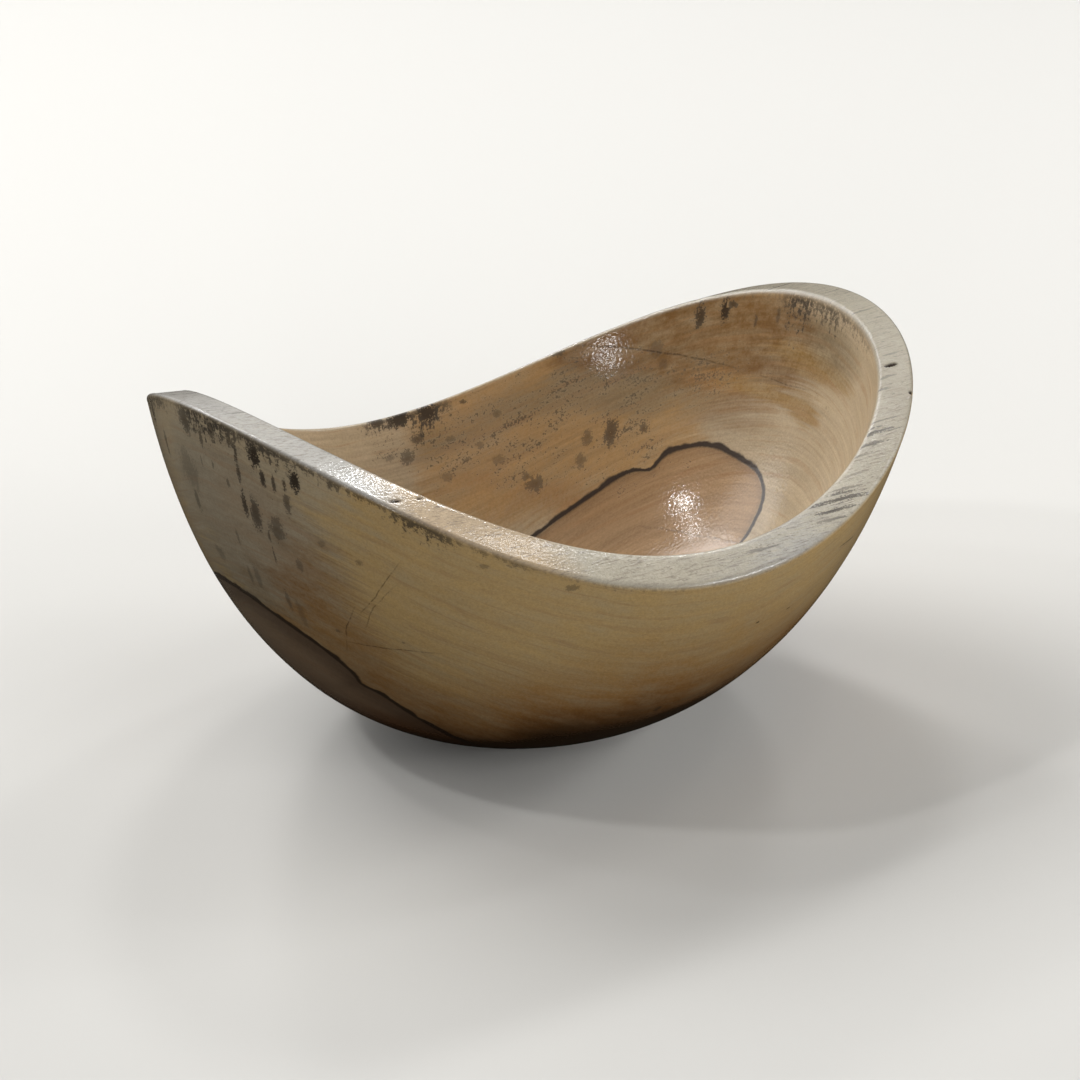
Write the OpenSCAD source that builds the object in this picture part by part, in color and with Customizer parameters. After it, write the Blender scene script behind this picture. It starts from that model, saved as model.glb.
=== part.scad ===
// Natural-edge wooden bowl, turned from half a log in one piece.
// X runs along the log and its grain, Z is up, and the origin is the middle of the foot.
// The rim is the log's own round surface, so it is high at the two ends of the log
// and low on the two sides.

/* [Bowl] */
// Length over the two high tips, along the grain
bowl_len = 300; // [260:1:340]
// Width over the two low sides, across the grain
bowl_wid = 226; // [200:1:255]
// Height at which the walls would stand upright if they went on rising
full_h = 252; // [225:1:300]
// Fullness of the outside: 2 is an ellipse, and more is squarer
belly_out = 2.5; // [2.2:0.05:2.8]
// Fullness of the hollow: 2 is an ellipse, and more is squarer
belly_in = 3; // [2.6:0.05:3.2]

/* [Wall] */
// Thickness of the wall at the height where it would stand upright
wall_t = 19; // [14:0.5:22]
// Thickness of the wood under the hollow
floor_t = 11; // [7:0.5:18]
// Depth taken off the round bottom to make the flat foot
foot_cut = 1.6; // [1:0.1:3]

/* [Rim] */
// Height of the high tip at the left end of the log
left_tip_h = 162; // [150:1:185]
// Height of the tip at the right end of the log
right_tip_h = 129; // [120:1:145]
// Height of the log's top line at the middle of the bowl
crest_h = 139.5; // [130:0.5:148]
// Height of the rim at its low front side
front_low_h = 98; // [80:1:112]
// Height of the rim at its low back side
back_low_h = 67.5; // [55:0.5:95]
// How far the log's middle line lies in front of the bowl's
log_shift = 15; // [0:0.5:25]
// Growth of the log's radius for each millimetre toward its right end
log_taper = 0.044; // [0:0.002:0.08]
// Width of the rounding on the rim's outer edge
round_out = 2.2; // [1:0.1:4]
// Width of the rounding on the rim's inner edge
round_in = 3.2; // [1:0.1:4.5]

/* [Hidden] */

// Steps round the bowl, up the outside, up the hollow, round an edge and over the rim
sides = 84;
out_steps = 13;
in_steps = 15;
round_steps = 4;
band_steps = 3;
halvings = 30;

// Part of its full half-width that a wall has reached at a height, from 0 to 1
function out_part(z) = pow(1 - pow((full_h - z) / (full_h + foot_cut), belly_out), 1 / belly_out);
function in_part(z) = pow(1 - pow((full_h - z) / (full_h - floor_t), belly_in), 1 / belly_in);

// Full half-widths, from the length and width over the rim
half_x = bowl_len / (out_part(left_tip_h) + out_part(right_tip_h));
half_y = bowl_wid / (out_part(front_low_h) + out_part(back_low_h));
hollow_x = half_x - wall_t;
hollow_y = half_y - wall_t;

// Radius of the log over each side of its top line, from how far the rim dips there
function dip_radius(reach, dip) = (reach * reach + dip * dip) / (2 * dip);
front_r = dip_radius(half_y * out_part(front_low_h) - log_shift, crest_h - front_low_h);
back_r = dip_radius(half_y * out_part(back_low_h) + log_shift, crest_h - back_low_h);

// The top line is a shallow parabola through the two tips and the middle
tip_drop = back_r - sqrt(back_r * back_r - log_shift * log_shift);
left_x = -half_x * out_part(left_tip_h);
right_x = half_x * out_part(right_tip_h);
left_rate = (left_tip_h + tip_drop - crest_h) / left_x;
right_rate = (right_tip_h + tip_drop - crest_h) / right_x;
crest_bow = (right_rate - left_rate) / (right_x - left_x);
crest_slope = right_rate - crest_bow * right_x;

// Height of the log's surface over a point of the plan
function log_z(x, y) =
    let (across = y + log_shift)
    let (r = (across > 0 ? back_r : front_r) + log_taper * x)
    crest_h + crest_slope * x + crest_bow * x * x
        + sqrt(max(r * r - across * across, 0)) - r;

// Point of a wall at an angle round the bowl and a height
function out_wall(t, z) =
    [half_x * out_part(z) * cos(t), half_y * out_part(z) * sin(t), z];
function in_wall(t, z) =
    [hollow_x * in_part(z) * cos(t), hollow_y * in_part(z) * sin(t), z];

// Point where a wall meets the log's surface, found by halving the height between two bounds
function out_edge(t, low, high, left) =
    let (p = out_wall(t, (low + high) / 2))
    left == 0 ? p
    : p.z > log_z(p.x, p.y) ? out_edge(t, low, p.z, left - 1)
    : out_edge(t, p.z, high, left - 1);
function in_edge(t, low, high, left) =
    let (p = in_wall(t, (low + high) / 2))
    left == 0 ? p
    : p.z > log_z(p.x, p.y) ? in_edge(t, low, p.z, left - 1)
    : in_edge(t, p.z, high, left - 1);

// Point on the log's surface, part of the way between two points of the plan
function over_rim(from, to, part) =
    let (x = from.x + part * (to.x - from.x))
    let (y = from.y + part * (to.y - from.y))
    [x, y, log_z(x, y)];

// Curve that rounds a corner between a point on each side of it
function rounded(a, corner, b, s) =
    (1 - s) * (1 - s) * a + 2 * s * (1 - s) * corner + s * s * b;

// Heights of a wall's rows, closer together where the wall lies flatter
function out_height(top, k) =
    let (low = acos(pow(full_h / (full_h + foot_cut), belly_out / 2)))
    let (high = acos(pow((full_h - top) / (full_h + foot_cut), belly_out / 2)))
    full_h - (full_h + foot_cut) * pow(cos(low + (high - low) * k / out_steps), 2 / belly_out);
function in_height(top, k) =
    let (high = acos(pow((full_h - top) / (full_h - floor_t), belly_in / 2)))
    full_h - (full_h - floor_t) * pow(cos(high * k / in_steps), 2 / belly_in);

// One upright cut through the wall, from the foot over the rim to the middle of the hollow
function wall_cut(t) =
    let (outer = out_edge(t, 0, full_h - 1, halvings))
    let (inner = in_edge(t, floor_t, full_h - 1, halvings))
    let (width = norm([outer.x - inner.x, outer.y - inner.y]))
    let (out_low = out_wall(t, outer.z - round_out))
    let (in_low = in_wall(t, inner.z - round_in))
    let (out_high = over_rim(outer, inner, round_out / width))
    let (in_high = over_rim(inner, outer, round_in / width))
    [
        for (k = [0 : out_steps]) out_wall(t, k == 0 ? 0 : out_height(out_low.z, k)),
        for (k = [1 : round_steps]) rounded(out_low, outer, out_high, k / round_steps),
        for (k = [1 : band_steps]) over_rim(out_high, in_high, k / band_steps),
        for (k = [1 : round_steps]) rounded(in_high, inner, in_low, k / round_steps),
        for (k = [1 : in_steps - 1]) in_wall(t, in_height(in_low.z, in_steps - k))
    ];

module bowl() {
    cuts = [for (i = [0 : sides - 1]) wall_cut(360 * i / sides)];
    rows = len(cuts[0]);
    foot_middle = sides * rows;
    hollow_middle = foot_middle + 1;
    points = [
        for (cut = cuts) each cut,
        [0, 0, 0],
        [0, 0, floor_t]
    ];
    faces = [
        for (i = [0 : sides - 1])
            let (here = i * rows)
            let (next = (i + 1) % sides * rows)
            each [
                [foot_middle, here, next],
                [hollow_middle, next + rows - 1, here + rows - 1],
                for (k = [0 : rows - 2]) each [
                    [here + k, here + k + 1, next + k + 1],
                    [here + k, next + k + 1, next + k]
                ]
            ]
    ];
    color("#a58a66") polyhedron(points, faces, convexity = 6);
}

bowl();
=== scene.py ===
import math
from functools import partial
from types import SimpleNamespace

import bpy
import numpy as np
from mathutils import Matrix, Vector, noise


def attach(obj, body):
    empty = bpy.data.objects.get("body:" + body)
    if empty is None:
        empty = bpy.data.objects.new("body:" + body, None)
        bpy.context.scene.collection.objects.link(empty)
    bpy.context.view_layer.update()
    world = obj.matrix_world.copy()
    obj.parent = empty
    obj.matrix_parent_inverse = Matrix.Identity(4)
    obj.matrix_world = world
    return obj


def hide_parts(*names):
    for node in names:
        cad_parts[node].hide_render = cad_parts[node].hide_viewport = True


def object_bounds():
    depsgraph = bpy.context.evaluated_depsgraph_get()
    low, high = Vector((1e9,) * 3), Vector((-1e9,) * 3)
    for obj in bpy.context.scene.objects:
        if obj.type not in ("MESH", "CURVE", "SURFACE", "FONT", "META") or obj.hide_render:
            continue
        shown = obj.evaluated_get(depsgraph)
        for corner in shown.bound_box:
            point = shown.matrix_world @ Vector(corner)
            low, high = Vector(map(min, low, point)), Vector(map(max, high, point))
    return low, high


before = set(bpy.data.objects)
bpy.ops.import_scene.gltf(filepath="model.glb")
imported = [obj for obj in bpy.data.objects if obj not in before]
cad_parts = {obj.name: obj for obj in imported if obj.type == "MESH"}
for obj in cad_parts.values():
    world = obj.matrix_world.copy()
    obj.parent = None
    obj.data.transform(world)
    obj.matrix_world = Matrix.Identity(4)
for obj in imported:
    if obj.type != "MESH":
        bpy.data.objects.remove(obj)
cadLow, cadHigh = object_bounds()
print("frame loaded, box", [round(v * 1000, 1) for v in cadHigh - cadLow], "mm")

mm = 0.001  # all sizes below are in millimetres, and the scene is in metres


def newObject(name, data):
    made = bpy.data.objects.new(name, data)
    bpy.context.collection.objects.link(made)
    return made


# The bowl's form. X runs along the log, Z is up and the origin is the middle of the foot.
bowlForm = {
    "length": 300.0,  # over the two high tips
    "width": 226.0,  # over the two low sides
    "fullHeight": 252.0,  # where the walls would stand upright
    "bellyOut": 2.5,  # fullness of the outside
    "bellyIn": 3.0,  # fullness of the hollow
    "wall": 19.0,
    "floor": 11.0,
    "footCut": 1.6,
    "leftTip": 162.0,
    "rightTip": 129.0,
    "crest": 139.5,
    "frontLow": 98.0,
    "backLow": 67.5,
    "logShift": 15.0,  # the log's middle line lies this far in front
    "logTaper": 0.044,
    "roundOut": 2.2,
    "roundIn": 3.2,
    "waviness": 0.16,  # how far the sanded surface wanders in and out
    "waveSizes": (42.0, 17.0),
    "smallWave": 0.4,  # how much of the waviness the smaller waves add
    "calmBelow": 25.0,
    "ripple": 0.035,  # height of the turning ripples low in the hollow
    "ripplePitch": 10.5,
    "rippleWander": 2.5,
    "rippleStart": 15.0,  # they grow up to here from the middle
    "rippleEnd": 112.0,
    "rippleFade": 30.0,
}

# How finely the bowl is cut into faces
bowlSteps = {
    "around": 330,
    "pitColumns": 11,  # extra columns at each pit in the rim
    "foot": 7,
    "outside": 88,
    "rounding": 7,
    "band": 30,
    "inside": 82,
}

# Pits and chips in the rim: place on the plan, length along the grain, width, depth
rimPits = [
    (120.6, -55.7, 7.0, 1.5, 1.5),
    (107.5, -65.3, 3.0, 1.0, 0.6),
    (118.0, -71.0, 2.6, 1.8, 1.1),
    (-117.4, -73.4, 5.4, 1.2, 1.0),
    (-107.1, -73.6, 3.4, 1.0, 0.8),
]

form = SimpleNamespace(**bowlForm)

# Each wall's depth from its full height, its fullness and its lowest height
wallForm = {
    "out": (form.fullHeight + form.footCut, form.bellyOut, 0.0),
    "in": (form.fullHeight - form.floor, form.bellyIn, form.floor),
}


# Part of its full half-width that a wall has reached at a height
def wallPart(side, height):
    depth, belly, _ = wallForm[side]
    left = np.clip((form.fullHeight - height) / depth, 0, 1)
    return (1 - left**belly) ** (1 / belly)


halfX = form.length / (wallPart("out", form.leftTip) + wallPart("out", form.rightTip))
halfY = form.width / (wallPart("out", form.frontLow) + wallPart("out", form.backLow))
halves = {"out": (halfX, halfY), "in": (halfX - form.wall, halfY - form.wall)}


def dipRadius(reach, dip):
    return (reach * reach + dip * dip) / (2 * dip)


frontReach = halfY * wallPart("out", form.frontLow) - form.logShift
backReach = halfY * wallPart("out", form.backLow) + form.logShift
frontR = dipRadius(frontReach, form.crest - form.frontLow)
backR = dipRadius(backReach, form.crest - form.backLow)
tipDrop = backR - math.sqrt(backR**2 - form.logShift ** 2)
leftX = -halfX * wallPart("out", form.leftTip)
rightX = halfX * wallPart("out", form.rightTip)
leftRate = (form.leftTip + tipDrop - form.crest) / leftX
rightRate = (form.rightTip + tipDrop - form.crest) / rightX
crestBow = (rightRate - leftRate) / (rightX - leftX)
crestSlope = rightRate - crestBow * rightX


# Radius of the log and height of its heart over a point of the plan
def logAt(x, y):
    across = y + form.logShift
    radius = np.where(across > 0, backR, frontR) + form.logTaper * x
    crest = form.crest + crestSlope * x + crestBow * x * x
    return across, radius, crest - radius


def logHeight(x, y):
    across, radius, heart = logAt(x, y)
    return heart + np.sqrt(np.clip(radius**2 - across**2, 0, None))


def wallPoint(side, angle, height):
    a, b = halves[side]
    part = wallPart(side, height)
    return np.stack([a * part * np.cos(angle), b * part * np.sin(angle), height + 0 * angle], -1)


# Where a wall meets the log's surface, found by halving
def wallEdge(side, angle):
    low = np.full_like(angle, wallForm[side][2])
    high = np.full_like(angle, form.fullHeight - 1)
    for _ in range(40):
        middle = (low + high) / 2
        p = wallPoint(side, angle, middle)
        above = middle > logHeight(p[:, 0], p[:, 1])
        high = np.where(above, middle, high)
        low = np.where(above, low, middle)
    return wallPoint(side, angle, middle)


def overRim(a, b, part):
    xy = a[:, :2] + part * (b[:, :2] - a[:, :2])
    return np.column_stack([xy, logHeight(xy[:, 0], xy[:, 1])])


def rounded(a, corner, b, s):
    return (1 - s) ** 2 * a + 2 * s * (1 - s) * corner + s * s * b


# Height of a wall's row, from 0 at its lowest point to 1 at its top
def rowHeight(side, top, share):
    depth, belly, lowest = wallForm[side]
    low = math.acos(((form.fullHeight - lowest) / depth) ** (belly / 2))
    high = np.arccos(((form.fullHeight - top) / depth) ** (belly / 2))
    return form.fullHeight - depth * np.cos(low + (high - low) * share) ** (2 / belly)


# Columns go evenly round the bowl, with more of them where the rim has a pit
def columnAngles(steps):
    angles = list(np.arange(steps["around"]) * 2 * math.pi / steps["around"])
    spread = 3.2  # half the length of rim that the extra columns cover
    closest = 0.0008  # radians between two columns
    for x, y, *_ in rimPits:
        middle = math.atan2(y / halfY, x / halfX) % (2 * math.pi)
        reach = spread / math.hypot(x, y)
        angles += list(middle + np.linspace(-reach, reach, steps["pitColumns"]))
    angles = np.unique(np.round(angles, 5))
    return angles[np.diff(angles, append=angles[0] + 2 * math.pi) > closest]


# Rows of the mesh from the foot's middle over the rim to the middle of the hollow.
# Each holds its points, how far it is on the rim and whether it is in the hollow.
def bowlRows(angle, steps):
    outer, inner = wallEdge("out", angle), wallEdge("in", angle)
    width = np.linalg.norm(outer[:, :2] - inner[:, :2], axis=1)[:, None]
    outLow = wallPoint("out", angle, outer[:, 2] - form.roundOut)
    inLow = wallPoint("in", angle, inner[:, 2] - form.roundIn)
    outHigh = overRim(outer, inner, form.roundOut / width)
    inHigh = overRim(inner, outer, form.roundIn / width)
    foot = wallPoint("out", angle, 0 * angle)
    rows = [(foot * (k / steps["foot"]), 0, 0) for k in range(1, steps["foot"])]
    for k in range(steps["outside"] + 1):
        height = rowHeight("out", outLow[:, 2], k / steps["outside"])
        rows.append((wallPoint("out", angle, height), 0, 0))
    for k in range(1, steps["rounding"] + 1):
        s = k / steps["rounding"]
        rows.append((rounded(outLow, outer, outHigh, s), s, 0))
    rows += [(overRim(outHigh, inHigh, k / steps["band"]), 1, 0) for k in range(1, steps["band"] + 1)]
    for k in range(1, steps["rounding"] + 1):
        s = k / steps["rounding"]
        rows.append((rounded(inHigh, inner, inLow, s), 1 - s, s))
    for k in range(1, steps["inside"]):
        height = rowHeight("in", inLow[:, 2], 1 - k / steps["inside"])
        rows.append((wallPoint("in", angle, height), 0, 1))
    points, onRim, inHollow = (np.array(column) for column in zip(*rows))
    shape = (1, len(angle))
    return points, np.tile(onRim[:, None], shape), np.tile(inHollow[:, None], shape), outer, inner


angle = columnAngles(bowlSteps)
points, onRim, inHollow, outerEdge, innerEdge = bowlRows(angle, bowlSteps)
rowCount, columnCount = points.shape[:2]
print("bowl grid", rowCount, "rows by", columnCount, "columns")

# Outward normals of the grid, for pushing points in and out
around = np.roll(points, -1, 1) - np.roll(points, 1, 1)
along = np.gradient(points, axis=0)
normals = np.cross(around, along)
normals /= np.linalg.norm(normals, axis=-1, keepdims=True) + 1e-12

# Hand sanding leaves the wide surfaces slightly uneven. It fades out at the foot and the edges.
largeWave, smallWave = form.waveSizes
wave = np.array([
    noise.noise(Vector(p) / largeWave) + form.smallWave * noise.noise(Vector(p) / smallWave)
    for p in points.reshape(-1, 3)
]).reshape(rowCount, columnCount)
calm = np.clip(points[..., 2] / form.calmBelow, 0, 1) * np.clip(1 - 4 * onRim * (1 - onRim), 0, 1)
points = points - normals * (form.waviness * (1 + wave) * calm)[..., None] * (points[..., 2:] > 0)

# Turning left shallow ripples low in the hollow
fromMiddle = np.hypot(points[..., 0], points[..., 1])
ripple = form.ripple * np.sin(2 * math.pi * fromMiddle / form.ripplePitch + form.rippleWander * wave)
ripple = ripple * (inHollow > 0.99) * np.clip((form.rippleEnd - fromMiddle) / form.rippleFade, 0, 1)
ripple = ripple * np.clip(fromMiddle / form.rippleStart, 0, 1)
points = points - normals * (form.ripple + ripple)[..., None] * (ripple != 0)[..., None]

# Pits lie along the grain. Where one is, the surface sinks and is coloured dark.
pitDepth = np.zeros((rowCount, columnCount))
for x, y, length, width, depth in rimPits:
    near = ((points[..., 0] - x) * 2 / length) ** 2 + ((points[..., 1] - y) * 2 / width) ** 2
    pitDepth = np.maximum(pitDepth, depth * np.clip(1 - near, 0, 1) ** 0.7 * (onRim > 0.2))
points = points - normals * pitDepth[..., None]

# How deep each point lies under the log's surface, where the growth rings run level with it
across, logRadius, heart = logAt(points[..., 0], points[..., 1])
ringDepth = logRadius - np.hypot(across, points[..., 2] - heart)

# Where each point sits on its wall, round it and down from the rim, for the walls' noises
placeRadius = 120.0  # of the ring that stands for the way round
placeMiddle = 70.0  # within this the place draws in, because the columns meet
edgeHeight = np.where(inHollow > 0.5, innerEdge[None, :, 2], outerEdge[None, :, 2])
drop = edgeHeight - points[..., 2]
away = np.clip(fromMiddle / placeMiddle, 0, 1)
place = (
    placeRadius * away * np.cos(angle)[None, :],
    placeRadius * away * np.sin(angle)[None, :],
    edgeHeight * away * away - points[..., 2],
)

# The core of the log: a dark-edged column along the grain whose middle and radius change
# from the left end of the bowl to the right. Bumps are (degrees over the back, size, spread).
woodCore = {
    "leftMiddle": (2.0, 36.0),
    "leftRadius": 48.0,
    "leftBumps": [(155.0, -3.0, 3.0), (135.0, 1.2, 8.0), (190.0, 2.0, 14.0)],
    "rightMiddle": (28.0, 31.0),
    "rightRadius": 31.0,
    "rightBumps": [(138.0, 6.3, 17.0), (49.0, -3.4, 5.0), (85.0, 1.2, 14.0), (0.0, 1.8, 10.0)],
    "change": (-55.0, 45.0),  # where along the log it changes
}


def coreDepthAt(p):
    start, end = woodCore["change"]
    share = np.clip((p[..., 0] - start) / (end - start), 0, 1)
    share = share * share * (3 - 2 * share)
    middles = np.array([woodCore["leftMiddle"], woodCore["rightMiddle"]])
    middleY = middles[0, 0] + share * (middles[1, 0] - middles[0, 0])
    middleZ = middles[0, 1] + share * (middles[1, 1] - middles[0, 1])
    dy, dz = p[..., 1] - middleY, p[..., 2] - middleZ
    turn = np.degrees(np.arctan2(dz, dy)) % 360
    radius = 0
    for side, weight in (("left", 1 - share), ("right", share)):
        sideRadius = woodCore[side + "Radius"] + 0 * turn
        for middle, size, spread in woodCore[side + "Bumps"]:
            away = (turn - middle + 180) % 360 - 180
            sideRadius = sideRadius + size * np.exp(-0.5 * (away / spread) ** 2)
        radius = radius + weight * sideRadius
    return radius - np.hypot(dy, dz)


coreDepth = coreDepthAt(points)

# Dark spots on the walls: degrees round the bowl from its right tip, how far down from the
# rim, width round the bowl, length down the wall, and darkness from 0 to 1
outsideSpots = [
    (178, 7, 8, 12, 0.75), (182, 11, 2.4, 10, 0.7), (185, 6, 4, 11, 0.7), (189, 7, 3, 7, 0.75),
    (190, 11, 2.4, 9, 0.8), (190, 19, 2, 8, 0.75), (194, 8, 5.6, 11, 1), (195, 16, 2.4, 7, 0.9),
    (197, 16, 1.8, 8, 0.8), (199, 14, 1.8, 7, 0.8), (201, 9.5, 4.4, 9.5, 1), (199, 21, 3.4, 10, 0.65),
    (190, 32, 2.6, 12, 0.85), (192, 34, 5.6, 14, 0.75), (196, 36, 7.5, 11, 0.55), (194, 41, 1.8, 6, 0.6),
    (194, 50, 1.2, 8, 0.6), (176, 28, 13, 20, 0.3), (176, 40, 4, 11, 0.5), (199, 48, 3.4, 5.4, 0.4),
    (210, 32, 3, 3.2, 0.35), (187, 26, 1.6, 4.4, 0.5), (184, 21, 1.3, 3.6, 0.5), (181, 22, 1.4, 5, 0.4),
    (186, 50, 1.6, 8, 0.4), (188, 66, 3, 12, 0.35), (186, 66, 2, 9, 0.35), (194, 70, 2, 12, 0.4),
    (196, 74, 3, 14, 0.25), (178, 62, 6, 8, 0.3), (242, 5, 6, 3, 0.45), (229, 8, 4, 2.2, 0.35),
    (264, 64, 3, 3.6, 0.5), (278, 27, 2, 1.4, 0.8), (286, 29, 2, 1.2, 0.6), (203, 73, 3, 2, 0.4),
    (215, 62, 2, 1.2, 0.4), (204, 32, 3, 4, 0.3), (20, 7, 5, 12, 0.8), (12, 9, 3, 14, 0.7),
    (2, 8, 5, 12, 0.9), (352, 10, 3, 10, 0.75), (346, 14, 3.6, 12, 0.8), (358, 26, 4, 12, 0.6),
    (95, 5, 4, 9, 0.6), (112, 8, 5, 10, 0.5), (150, 8, 4, 11, 0.7), (163, 7, 5, 12, 0.8),
    (168, 20, 3, 11, 0.6), (156, 24, 2.4, 9, 0.6), (140, 22, 4, 5, 0.4), (60, 14, 4, 4, 0.4),
    (33, 22, 3, 9, 0.5), (8, 42, 5, 12, 0.4), (26, 30, 2.4, 8, 0.5), (340, 30, 3, 9, 0.4),
]
hollowSpots = [
    (27, 7, 4.4, 11, 0.9), (22, 7, 4.2, 10, 1), (20.5, 5, 4, 3.4, 0.8), (42, 40, 6.2, 13, 0.75),
    (35, 44, 3.6, 5, 0.65), (47, 38, 4.4, 7.4, 0.5), (48, 45, 4, 7, 0.45), (35, 15, 5.6, 7, 0.4),
    (33, 22, 4, 5, 0.35), (58, 44, 9, 7, 0.6), (60, 40, 4, 4, 0.5), (83, 12, 5.4, 4.4, 0.7),
    (86, 17, 7, 6.4, 0.6), (72.5, 5, 3, 2, 0.7), (66, 14, 4, 3, 0.4), (76, 16, 4, 3, 0.35),
    (73, 25, 3, 2.4, 0.5), (54, 1.6, 7, 3, 0.6), (15, 12, 1.6, 7, 0.6), (10, 10, 2, 8, 0.5),
    (70, 22, 5, 3, 0.4), (78, 28, 6, 4, 0.35), (66, 30, 6, 4, 0.35), (90, 16, 4, 4, 0.4),
    (80, 4, 10, 9, 1.0), (86, 3.5, 12, 7, 1.0), (91, 2.5, 8, 5, 0.9), (183, 6, 6, 12, 0.8),
    (190, 10, 3, 11, 0.8), (176, 12, 3, 12, 0.7), (170, 6, 5, 11, 0.7), (200, 8, 4, 10, 0.6),
    (214, 7, 5, 9, 0.5), (235, 12, 4, 6, 0.4), (168, 34, 5, 13, 0.5), (186, 44, 4, 11, 0.5),
    (290, 18, 3, 3, 0.4), (120, 12, 5, 9, 0.5), (135, 8, 5, 9, 0.6), (148, 20, 4, 10, 0.5),
    (262, 10, 3, 5, 0.4),
]
# Dark flames on the rim: place on the plan, width across the grain, length along it, darkness
rimSpots = [
    (86, -83, 1.8, 28, 0.75), (82, -87, 1.3, 22, 0.65), (78, -90, 1.1, 14, 0.45), (93, -79, 1.0, 18, 0.45),
    (90, -81, 0.8, 14, 0.6), (58, -103, 1.8, 28, 0.8), (53, -106, 1.4, 24, 0.75), (49, -108.5, 1.0, 16, 0.5),
    (64, -100, 1.0, 20, 0.5), (60, -101, 0.8, 12, 0.7), (112, -61, 1.4, 13, 0.45), (108, -66, 1.0, 10, 0.45),
    (126, -50, 1.0, 11, 0.35), (136, -20, 1.2, 14, 0.4), (141, 3, 1.3, 13, 0.5), (134, 26, 1.6, 15, 0.5),
    (-96, -78, 1.0, 14, 0.35), (-78, -90, 1.0, 13, 0.3), (-136, 20, 1.2, 18, 0.5), (-120, 50, 1.6, 18, 0.6),
    (-60, 88, 1.6, 20, 0.5), (30, 100, 2, 24, 0.7), (84, 80, 1.8, 20, 0.5), (-20, -110, 0.9, 13, 0.3),
    (14, -112, 1.0, 18, 0.4), (-140, -12, 1.2, 15, 0.4), (-128, -30, 1.0, 16, 0.35), (72, -96, 0.9, 16, 0.4),
]


# What a face far from every spot keeps, and a face far from every hairline
noSpot = (3.0, 3.0, 0.0)
noHairline = (9.0, 0.0, 0.0)


# How far each column lies round a wall from a place in degrees, where the wall is widest
def roundWall(side, degrees):
    span = np.hypot(halves[side][0] * np.sin(angle), halves[side][1] * np.cos(angle))
    return ((angle - math.radians(degrees) + math.pi) % (2 * math.pi) - math.pi) * span


# For each face, the spot nearest to it: where its corners lie in that spot, whose outline is
# at 1 from its middle, and how dark it is
def nearestSpots(quads):
    faceRim = onRim.ravel()[quads].mean(1) > 0.5
    faceHollow = inHollow.ravel()[quads].mean(1) > 0.5
    best = np.full(len(quads), noSpot[0])
    found = np.zeros((len(quads), 4, 3)) + noSpot

    def take(onSurface, u, v, dark):
        corners = np.stack([u.ravel()[quads], v.ravel()[quads], np.full(quads.shape, dark)], -1)
        reach = np.hypot(corners[..., 0].mean(1), corners[..., 1].mean(1))
        closer = onSurface & (reach < best)
        best[closer] = reach[closer]
        found[closer] = corners[closer]

    for spots, side, edges in ((outsideSpots, "out", outerEdge), (hollowSpots, "in", innerEdge)):
        onSurface = ~faceRim & (faceHollow == (side == "in"))
        for degrees, down, width, length, dark in spots:
            height = np.interp(math.radians(degrees), angle, edges[:, 2], period=2 * math.pi) - down
            run = (wallPart(side, height + 1) - wallPart(side, height - 1)) / 2 * halves[side][0]
            u = (roundWall(side, degrees) * wallPart(side, height))[None, :] * 2 / width + 0 * drop
            v = (points[..., 2] - height) * math.hypot(1, run) * 2 / length
            take(onSurface, u, v, dark)
    for x, y, width, length, dark in rimSpots:
        take(faceRim, (points[..., 1] - y) * 2 / width, (points[..., 0] - x) * 2 / length, dark)
    return found


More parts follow.
